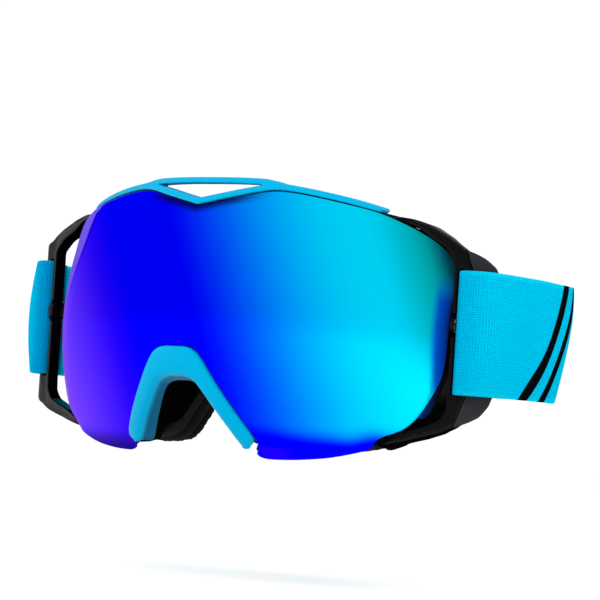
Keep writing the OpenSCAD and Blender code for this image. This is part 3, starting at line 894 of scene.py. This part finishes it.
class Nodes:
    """A short way to write a material, or another node tree."""

    def __init__(self, name=None, tree=None):
        if name:
            self.material = bpy.data.materials.new(name)
            self.material.use_nodes = True
            tree = self.material.node_tree
            self.bsdf = tree.nodes["Principled BSDF"]
        self.tree = tree

    def put(self, socket, value):
        if hasattr(value, "node"):
            self.tree.links.new(value, socket)
        else:
            socket.default_value = value

    def node(self, kind, inputs=None, **settings):
        """The outputs of a new node; inputs are values or other nodes' outputs."""
        node = self.tree.nodes.new("ShaderNode" + kind)
        for key, value in settings.items():
            setattr(node, key, value)
        for key, value in (inputs or {}).items():
            self.put(node.inputs[key], value)
        return node.outputs

    def math(self, operation, a, b=0.0, c=0.0, clamp=False):
        return self.node("Math", {0: a, 1: b, 2: c}, operation=operation, use_clamp=clamp)[0]

    def add(self, a, b):
        return self.math("ADD", a, b)

    def sub(self, a, b):
        return self.math("SUBTRACT", a, b)

    def scaled(self, a, by, plus, clamp=False):
        return self.math("MULTIPLY_ADD", a, by, plus, clamp)

    def mul(self, first, *others, clamp=False):
        for other in others:
            first = self.math("MULTIPLY", first, other, clamp=clamp)
        return first

    def step(self, value, low, high):
        """0 at low, 1 at high, eased; low may be above high."""
        t = self.mul(self.sub(value, low), 1 / (high - low), clamp=True)
        return self.mul(t, t, self.sub(3.0, self.mul(t, 2.0)))

    def mix(self, factor, a, b, kind="MIX"):
        return self.node("Mix", {0: factor, 6: a, 7: b}, data_type="RGBA", blend_type=kind)[2]

    def ramp(self, factor, stops):
        output = self.node("ValToRGB", {0: factor})[0]
        elements = output.node.color_ramp.elements
        elements.remove(elements[-1])
        elements[0].position, elements[0].color = stops[0]
        for position, colour in stops[1:]:
            elements.new(position).color = colour
        return output

    def noise(self, scale, detail, vector, rough=0.5):
        return self.node("TexNoise", {"Scale": scale, "Detail": detail, "Roughness": rough,
                                      "Vector": vector})["Fac"]

    def coords(self):
        """The object's own coordinates, in millimetres."""
        place = self.node("TexCoord")["Object"]
        return self.node("VectorMath", {0: place, "Scale": 1 / MM}, operation="SCALE")[0]

    def split(self, vector):
        return self.node("SeparateXYZ", {0: vector})[:3]

    def normal(self):
        return self.split(self.node("NewGeometry")["Normal"])

    def bump(self, height, strength, distance):
        return self.node("Bump", {"Strength": strength, "Distance": distance, "Height": height})[0]

    def set(self, **inputs):
        for key, value in inputs.items():
            self.put(self.bsdf.inputs[key.replace("_", " ")], value)
        return self.material


def plastic(name, colour, roughness, coat, grain, grain_strength, specular=0.5):
    """Moulded plastic with a fine grain and slight wear in its gloss."""
    n = Nodes(name)
    co = n.coords()
    broad = n.noise(0.06, 3, co)
    lighter = (*(min(1, c * 1.25 + 0.002) for c in colour[:3]), 1)
    return n.set(Base_Color=n.mix(n.mul(broad, 0.25), colour, lighter),
                 Roughness=n.scaled(broad, 0.14, roughness - 0.07), Coat_Weight=coat, Coat_Roughness=0.12,
                 Specular_IOR_Level=specular,
                 Normal=n.bump(n.noise(grain, 3, co, 0.6), grain_strength, GRAIN_DEPTH))


def top_only(n, level):
    """A specular level that falls to nothing on undersides, which would otherwise mirror the pale floor."""
    return n.mul(n.step(n.normal()[2], -0.45, -0.1), level)


def arm_material():
    """The outrigger's glossy black, with a moulded crease before the side plate, painted shade in that
    crease, and the side plate and forward facets painted lighter as sheen.
    """
    n = Nodes("outrigger_black")
    co = n.coords()
    across, _, z = n.split(co)
    broad = n.noise(0.08, 3, co)
    # The side plate starts further out at mid height.
    z = n.math("ABSOLUTE", z)
    past = n.sub(n.math("ABSOLUTE", across), n.scaled(n.sub(26.0, z), 0.3, 83.4))
    side = n.step(past, 0.0, 0.25)
    groove = n.mul(n.step(past, -0.6, -0.15), n.step(past, 0.25, 0.05))
    # Painted highlight: facets that face forward are painted lighter on the wearer's right, where they catch
    # more light.
    front = n.mul(n.step(n.mul(n.normal()[1], -1.0), 0.72, 0.92), n.sub(1.0, side),
                  n.scaled(n.step(across, -10.0, 10.0), -0.8, 0.9))
    colour = n.mix(broad, srgb(2, 2, 3), srgb(5, 5, 6))
    # Painted sheen: the side plate is painted a lighter grey. Its roughness is also raised.
    colour = n.mix(n.mul(side, 0.9), colour, srgb(46, 45, 49))
    colour = n.mix(front, colour, srgb(44, 42, 45))
    # Painted shade: the crease is coloured black, besides its dent in the bump.
    colour = n.mix(groove, colour, srgb(0, 0, 0))
    height = n.sub(n.mul(n.noise(1.8, 3, co, 0.6), 0.04), groove)
    return n.set(Base_Color=colour, Roughness=n.add(n.mul(side, 0.14), n.scaled(broad, 0.06, 0.1)),
                 Specular_IOR_Level=top_only(n, 0.1), Normal=n.bump(height, 0.5, 0.0003))


def shell_material():
    """The chassis's satin black, with a painted reflection of the coating's blue in streaks low on its outer
    wall.
    """
    n = Nodes("chassis_black")
    co = n.coords()
    x, y, z = n.split(co)
    fine = n.noise(2.2, 3, co, 0.6)
    streak = n.noise(0.16, 3, co, 0.7)
    # Painted reflection: streaks of the coating's blue, mirrored low on the outer wall.
    blue_reflection = n.mul(n.step(x, 60.0, 65.0), n.step(z, -14.0, -20.0), n.step(streak, 0.4, 0.56),
                 n.step(y, 1.0, -5.0))
    return n.set(Base_Color=n.mix(n.mul(blue_reflection, 0.9), srgb(5, 5, 6), srgb(6, 92, 214)),
                 Roughness=n.scaled(fine, 0.1, 0.36), Specular_IOR_Level=top_only(n, 0.08),
                 Normal=n.bump(fine, 0.1, GRAIN_DEPTH))


def trim_material():
    """The cyan trim, with painted shade, a deeper cyan, on the walls that turn back from the lens."""
    n = Nodes("cyan_trim")
    co = n.coords()
    x, y, z = n.split(co)
    broad = n.noise(0.06, 3, co)
    # Depth behind the lens's surface, which sags as a parabola does near its middle.
    sag = n.add(n.mul(x, x, 0.5 / LENS_RH), n.mul(z, z, 0.5 / LENS_RV))
    depth = n.sub(n.sub(y, TRIM_FRONT), sag)
    # Painted shade on the lower walls that turn back from the lens.
    wall = n.mul(n.step(depth, 0.4, 3.2), n.step(z, 0.0, -8.0))
    colour = n.mix(n.mul(broad, 0.2), srgb(0, 166, 211), srgb(0, 176, 221))
    return n.set(Base_Color=n.mix(n.mul(wall, 0.95), colour, srgb(0, 84, 122)),
                 Roughness=n.scaled(broad, 0.1, 0.3), Specular_IOR_Level=0.2, Specular_Tint=srgb(0, 200, 255),
                 Normal=n.bump(n.noise(2.0, 3, co, 0.6), 0.03, GRAIN_DEPTH))


# Half the length of the painted sweep of coating tint and reflection, in millimetres, and the stops that draw
# it.
SWEEP_REACH = 76
SWEEP_STOPS = 32


def quarter_wave(value, start, end):
    """Rises from 0 at start to 1 at end as the first quarter of a sine wave does."""
    return math.sin(math.pi / 2 * min(1.0, max(0.0, (value - start) / (end - start))))


def coating_and_reflection_tint(along):
    """The tint so far along the sweep: violet, blue, cyan, teal and a dark edge; the coating's own tint with
    painted reflection in it.
    """
    red = 145 * quarter_wave(along, -39, -84)
    green = 88 * quarter_wave(along, -46, -84) + 217 * quarter_wave(along, -16, 45)
    tint = Vector((red, green, 254)).lerp(Vector((0, 172, 178)), float(eased(along, 47, 66)))
    return srgb(*tint.lerp(Vector((2, 16, 34)), float(eased(along, 64, 75))))


def mirror_material():
    """The mirror coating: its tint sweeps from violet to teal, as a layered coating's does, with painted
    reflection in the sweep and painted glow, highlights and shade.
    """
    n = Nodes("mirror_coating")
    co = n.coords()
    x, y, z = n.split(co)
    # How far along the sweep: sideways and back, leaning with height.
    along = n.add(n.add(n.mul(x, 0.852), n.mul(y, 0.52)), n.mul(z, 0.354))
    # The painted sweep runs back towards blue along the lower edge.
    start = n.scaled(n.step(along, 20.0, 32.0), 2.4, -31.8)
    low = n.math("MAXIMUM", n.sub(start, z), 0.0)
    pull = n.math("MINIMUM", n.mul(low, low, 0.52), 42.0)
    pull = n.mul(pull, n.step(along, -30.0, 0.0), n.scaled(n.step(along, 2.0, 34.0), 0.8, 1.0))
    along = n.sub(along, pull)
    stops = [i / (SWEEP_STOPS - 1) for i in range(SWEEP_STOPS)]
    colour = n.ramp(n.math("DIVIDE", n.add(along, SWEEP_REACH), 2 * SWEEP_REACH),
                    [(at, coating_and_reflection_tint((2 * at - 1) * SWEEP_REACH)) for at in stops])
    # Painted reflection: brighter cyan low on the far side.
    cyan_reflection = n.mul(n.step(z, -2.0, -22.0), n.step(along, 36.0, 50.0))
    colour = n.mix(cyan_reflection, colour, srgb(0, 228, 254))
    # Painted reflection of the woven strap: a deep blue strip along the far edge, where the strap shows in
    # the coating.
    strip = n.mul(n.step(x, 72.6, 74.6), n.step(z, 20.0, 9.0), n.step(z, -21.5, -20.2))
    weave = n.math("SINE", n.mul(z, 7.5))
    blue = n.ramp(n.mul(n.sub(x, 73.0), 0.25), [
        (0.0, srgb(0, 130, 220)), (0.45, srgb(0, 85, 210)), (0.8, srgb(5, 55, 160)), (1.0, srgb(0, 20, 50))])
    blue = n.mix(n.scaled(weave, 0.08, 0.08), blue, srgb(0, 10, 70))
    colour = n.mix(strip, colour, blue)
    # Painted shade below the strip, at the lower outer corner.
    corner = n.mul(n.step(z, -20.0, -22.5), n.step(x, 72.0, 74.0))
    colour = n.mix(corner, colour, srgb(2, 30, 60))
    # Painted shade: the brow trim's shade, and the lower edge darkened as it turns away.
    under = n.sub(z, n.scaled(n.math("ABSOLUTE", x), 0.222, 36.9))
    shade = n.mul(n.step(under, -3.6, -0.4), n.step(x, 27.0, 10.0), n.step(x, -27.0, -12.0))
    colour = n.mix(n.mul(shade, 0.88), colour, srgb(6, 8, 60))
    foot = n.mul(n.step(z, -35.5, -44.0), n.step(x, 0.0, -20.0))
    colour = n.mix(n.mul(foot, 0.85), colour, srgb(30, 14, 110))
    # Light caught by the limb.
    limb = n.node("LayerWeight", {"Blend": 0.5})["Facing"]
    edge = n.mul(n.step(limb, 0.74, 0.98), n.step(x, 0.0, -30.0))
    colour = n.mix(n.mul(edge, 0.75), colour, srgb(150, 96, 245))
    # The upper limb's bevel, painted: a pale highlight band beyond a fine dark line.
    past = n.sub(limb, n.scaled(n.step(z, 28.0, 6.0), 0.09, 0.757))
    high = n.mul(n.step(z, 1.0, 14.0), n.step(x, -20.0, -35.0))
    colour = n.mix(n.mul(high, n.step(past, -0.05, -0.004), 0.55), colour, srgb(8, 0, 196))
    colour = n.mix(n.mul(high, n.step(past, 0.0, 0.016), 0.85), colour, srgb(134, 106, 248))
    fine = n.noise(0.5, 2, co)
    # Painted glow: part of the tint is given off as light to the camera, so that the sweep reads the same
    # under any soft light.
    given = n.scaled(n.node("LightPath")["Is Camera Ray"], 0.73, 0.05)
    base = n.mix(1.0, colour, (0.34, 0.34, 0.34, 1), "MULTIPLY")
    return n.set(Base_Color=base, Emission_Color=colour, Emission_Strength=given, Metallic=1.0,
                 Specular_Tint=colour, Roughness=n.scaled(fine, 0.04, 0.2),
                 Normal=n.bump(fine, 0.01, 0.00005))


def strap_material(name, bars_at=(), fold=None, fold_shade=0.0):
    """Woven elastic: ribs across, fine warp along, stitched edges and, if asked, plain slanting bars."""
    n = Nodes(name)
    s, v, _ = n.split(n.node("Attribute", attribute_name="weave")["Vector"])
    co = n.coords()
    warp = n.noise(0.35, 2, co)
    rib = n.math("SINE", n.mul(n.add(v, n.mul(warp, 0.2)), 2 * math.pi / YARN))
    column = n.math("SINE", n.mul(n.add(s, n.mul(warp, 0.25)), 2 * math.pi / YARN))
    fuzz = n.mul(n.sub(n.noise(3.5, 2, co), 0.5), 0.5)
    # Neighbouring cells alternate, as over-and-under yarns do.
    height = n.add(n.add(n.mul(rib, 0.35), n.mul(rib, column, 0.7)), fuzz)
    colour = n.mix(n.scaled(height, 0.62, 0.5, clamp=True), srgb(0, 160, 218), srgb(0, 224, 252))
    colour = n.mix(n.mul(n.noise(0.12, 3, co), 0.15), colour, srgb(0, 190, 232))
    edge = n.mul(n.sub(n.math("ABSOLUTE", v), STRAP_W / 2 - 1.5), 3.0, clamp=True)
    colour = n.mix(n.mul(edge, 0.5), colour, srgb(0, 222, 252))
    if fold is not None:
        # Painted shade where the band turns round the side plate.
        fold_shade_mask = n.step(s, fold - 15.0, fold - 25.0)
        colour = n.mix(n.mul(fold_shade_mask, fold_shade), colour, srgb(0, 84, 168))
    for centre, slope, half in bars_at:
        across = n.math("ABSOLUTE", n.add(n.sub(n.sub(s, centre), n.mul(v, slope)), fuzz))
        colour = n.mix(n.mul(n.sub(half, across), 4.0, clamp=True), colour, srgb(9, 10, 13))
    return n.set(Base_Color=colour, Roughness=0.9, Specular_IOR_Level=0.0,
                 Normal=n.bump(height, 0.8, 0.00028))


def fabric_material(name, colour, light, scale, strength, sheen=0.0):
    """Fleece or open-cell foam."""
    n = Nodes(name)
    co = n.coords()
    cells = n.node("TexVoronoi", {"Scale": scale, "Vector": co})["Distance"]
    height = n.add(n.mul(cells, 0.8), n.noise(scale * 2.2, 4, co, 0.7))
    mixed = n.mix(n.scaled(n.sub(height, 0.75), 1.6, 0.4, clamp=True), colour, light)
    return n.set(Base_Color=mixed, Roughness=0.95, Specular_IOR_Level=0.15, Sheen_Weight=sheen,
                 Sheen_Roughness=0.6, Normal=n.bump(height, strength, 0.0004))


def steel_material():
    """Brushed metal for the hinge pins."""
    n = Nodes("brushed_pin")
    brushed = n.noise(2.0, 2, n.coords())
    return n.set(Base_Color=(0.55, 0.55, 0.57, 1), Metallic=1.0, Roughness=n.scaled(brushed, 0.2, 0.22),
                 Normal=n.bump(brushed, 0.1, 0.0001))


def clear_material():
    """The smoked inner lens."""
    n = Nodes("smoked_inner")
    haze = n.noise(0.3, 2, n.coords())
    return n.set(Base_Color=(0.03, 0.035, 0.045, 1), Roughness=n.scaled(haze, 0.05, 0.08), Coat_Weight=0.5,
                 Normal=n.bump(haze, 0.02, 0.0001))


# ---------------------------------------------------------------- assembly

def dress(obj, material, body, replaces):
    obj.data.materials.clear()
    obj.data.materials.append(material)
    if body:
        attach(obj, body)
    if replaces:
        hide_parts(*replaces)
    return obj


BLACK_GLOSS = arm_material()
BUTTON_BLACK = plastic("button_black", srgb(12, 12, 14), 0.12, 0.3, 1.5, 0.02, 0.6)
SLIDER_BLACK = plastic("slider_black", srgb(18, 18, 20), 0.38, 0.1, 2.0, 0.1)
RIM_BLACK = plastic("rim_black", srgb(6, 6, 8), 0.35, 0.0, 2.0, 0.06, 0.15)
CYAN_TRIM = trim_material()
STEEL = steel_material()
FOAM_FIRM = fabric_material("foam_firm", srgb(4, 4, 4), srgb(14, 14, 15), 2.2, 0.6)
FOAM_SOFT = fabric_material("foam_soft", srgb(4, 4, 5), srgb(18, 18, 19), 1.6, 0.9)
FLEECE = fabric_material("fleece_pile", srgb(2, 2, 3), srgb(16, 15, 17), 1.1, 1.0, 0.03)
VENT_FOAM = fabric_material("vent_foam", srgb(26, 26, 28), srgb(66, 66, 70), 1.2, 1.0)
GASKET = fabric_material("gasket_foam", srgb(18, 18, 19), srgb(44, 44, 46), 2.4, 0.5)

mirror_lens, rim, gasket, inner_lens = build_lens()
dress(mirror_lens, mirror_material(), "lens", ["outer_lens"])
dress(rim, RIM_BLACK, "lens", ["lens_rim"])
dress(gasket, GASKET, "lens", ["lens_gasket"])
dress(inner_lens, clear_material(), "lens", ["inner_lens"])

dress(build_brow(), CYAN_TRIM, "frame", ["brow_trim"])
dress(build_arch(), CYAN_TRIM, "frame", ["nose_arch"])
dress(build_chassis("chassis_shell"), shell_material(), "frame", ["chassis"])

# Each bar: its middle past the fold, its slope, and half its width, all along the band.
BARS = ((21, 0.8, 3.2), (34.5, 0.8, 3.2))
for side, sign in (("left", 1), ("right", -1)):
    arm = build_outrigger(f"outrigger_arm_{side}")
    if sign < 0:
        arm = mirror_x(arm, f"outrigger_arm_{side}")
    dress(arm, BLACK_GLOSS, f"{side}_outrigger", [f"outrigger_{side}"])
    dress(build_button(f"side_button_{side}", sign), BUTTON_BLACK, f"{side}_button",
          [f"release_button_{side}"])
    dress(build_pins(f"hinge_pin_pair_{side}", sign), STEEL, "frame", [f"hinge_pins_{side}"])

    band, fold = build_strap(f"strap_band_{side}", sign)
    bars = [(fold + past, slope, half) for past, slope, half in BARS] if sign > 0 else []
    # The painted shade at the fold is deeper on the wearer's right.
    dress(band, strap_material(f"woven_elastic_{side}", bars, fold, 0.2 if sign > 0 else 0.6), None,
          [f"strap_loop_{side}", f"strap_side_{side}"])
    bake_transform(band)

    slider = from_cad(f"slider_{side}", f"strap_slider_{side}", 0.55, 40, 3)
    slider.data.transform(Matrix.Translation((0, 0, REAR_LIFT * MM)))
    dress(slider, SLIDER_BLACK, f"{side}_slider", [f"slider_{side}"])
    tail_low, tail_high = box_mm(f"strap_tail_{side}")
    tail = straight_band(f"strap_end_{side}", tail_low[0], tail_high[0], (tail_low[1] + tail_high[1]) / 2)
    dress(tail, strap_material(f"woven_end_{side}"), f"{side}_slider", [f"strap_tail_{side}"])

back_band = straight_band("strap_band_back", -REAR_HALF, REAR_HALF, REAR_Y)
dress(back_band, strap_material("woven_elastic_back"), "frame", ["strap_rear"])

dress(soft_band("foam_base_ring", (0.04, 0.94), (102.05, 110.0), 1.2, 0.5, 11, 0.1), FOAM_FIRM, "frame",
      ["foam_base"])
dress(soft_band("foam_middle_ring", (0.02, 0.97), (97.05, 102.0), 1.6, 0.9, 12, 0.16), FOAM_SOFT, "frame",
      ["foam_middle"])
dress(soft_band("fleece_ring", (-0.02, 1.02), (95.0, 97.0), 0.95, 0.5, 13, 0.2, 0.3, 560), FLEECE, "frame",
      ["face_fleece"])

dress(vent_strip("vent_foam_top", -50, 50, True), VENT_FOAM, "frame", ["top_vent_foam"])
low_vents = [vent_strip("vent_foam_low", 37, 53, False), vent_strip("vent_foam_low", -53, -37, False)]
dress(join("vent_foam_bottom", low_vents), VENT_FOAM, "frame", ["bottom_vent_foam"])


# ---------------------------------------------------------------- studio

CAMERA_AT = Vector((468.73, -731.71, -35.66)) * MM
RIGHT = Vector((0.85172, 0.52004, 0.06427))
UP = Vector((-0.02754, -0.07806, 0.99657))
BACK = Vector((0.52327, -0.85057, -0.05216))

camera_data = bpy.data.cameras.new("camera")
camera_data.sensor_width = 36.0
camera_data.lens = 154.1
camera_data.clip_start = 0.01
camera = add_object("camera", camera_data)
axes = Matrix((RIGHT, UP, BACK)).transposed().to_4x4()
camera.matrix_world = Matrix.Translation(CAMERA_AT) @ axes
bpy.context.scene.camera = camera


def area_light(name, at, size, power):
    """A square lamp that faces the origin."""
    data = bpy.data.lights.new(name, "AREA")
    data.shape = "RECTANGLE"
    data.size = data.size_y = size
    data.energy = power
    obj = add_object(name, data)
    obj.location = at
    obj.rotation_euler = (-Vector(at)).to_track_quat("-Z", "Y").to_euler()
    return obj


lamps = [
    area_light("key", (0.5, -0.9, 1.0), 0.9, 9.0),
    area_light("fill", (-1.1, -0.7, 0.35), 0.8, 4.0),
    area_light("rim", (0.9, 0.7, 0.8), 0.8, 5.0),
]

FLOOR_GAP = 0.041
bpy.ops.mesh.primitive_plane_add(size=12, location=(0, 0, cad_low.z - FLOOR_GAP))
floor = bpy.context.active_object
floor.name = "floor"
n = Nodes("studio_floor")
tint = n.mix(n.mul(n.noise(0.01, 2, n.coords()), 0.3), (0.93, 0.93, 0.93, 1), (0.97, 0.97, 0.97, 1))
given = n.mul(n.node("LightPath")["Is Camera Ray"], 0.3)
floor.data.materials.append(n.set(Base_Color=tint, Roughness=0.9, Specular_IOR_Level=0.0,
                                  Emission_Color=(1, 1, 1, 1), Emission_Strength=given))

# The lens mirrors the plain studio only, not the lamps.
lit = bpy.data.collections.new("lit_pieces")
for piece in bpy.context.scene.objects:
    if piece.type == "MESH" and piece.name != mirror_lens.name:
        lit.objects.link(piece)
for lamp in lamps:
    lamp.light_linking.receiver_collection = lit

# The white surroundings look brighter to the camera, and dimmer in reflections.
world = bpy.data.worlds.new("studio")
world.use_nodes = True
background = world.node_tree.nodes["Background"]
n = Nodes(tree=world.node_tree)
ray = n.node("LightPath")
n.put(background.inputs["Color"], (1, 1, 1, 1))
n.put(background.inputs["Strength"],
      n.scaled(ray["Is Glossy Ray"], -0.42, n.scaled(ray["Is Camera Ray"], 0.3, 0.75)))
bpy.context.scene.world = world
bpy.context.scene.view_settings.view_transform = "Standard"
